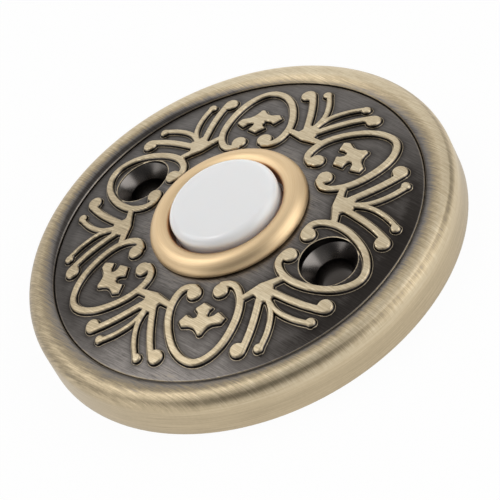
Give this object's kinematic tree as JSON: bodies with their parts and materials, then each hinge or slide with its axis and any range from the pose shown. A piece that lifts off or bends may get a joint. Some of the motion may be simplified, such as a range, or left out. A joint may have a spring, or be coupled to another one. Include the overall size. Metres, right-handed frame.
{
  "type": "doorbell push button",
  "caption": "Round domed doorbell push button plate with scroll relief, a turned ring, a white push cap and countersunk screw holes.",
  "frame": {"origin": "centre of the back, in the plane where the plate's rim meets the wall", "axes": "+Z away from the wall along the push cap's axis, Y through the two screw holes"},
  "size_m": [0.064, 0.064, 0.0122],
  "materials": {
    "antique_brass": "antique brass, dark field with brushed highlights",
    "satin_gold": "satin gold, turned",
    "white_plastic": "glossy white",
    "black_plastic": "moulded black",
    "brass": "plain brass strip",
    "silver": "bright silver contact",
    "steel": "zinc plated"
  },
  "bodies": {
    "housing": {"face_plate": "antique_brass", "bezel": "satin_gold", "ring_nut": "steel", "return_spring": "steel", "switch_base": "black_plastic", "terminal_strip_right": "brass", "contact_right": "silver", "terminal_screw_right": "steel", "clamp_washer_right": "steel", "terminal_strip_left": "brass", "contact_left": "silver", "terminal_screw_left": "steel", "clamp_washer_left": "steel"},
    "button": {"button_cap": "white_plastic", "contact_bar": "brass"}
  },
  "joints": [
    {"name": "button_press", "type": "slide", "parent": "housing", "child": "button", "axis": [0, 0, -1], "range_m": [0, 0.0012], "stiffness_N_per_m": 1500, "springref_m": -0.001, "deforming": ["return_spring"]}
  ]
}
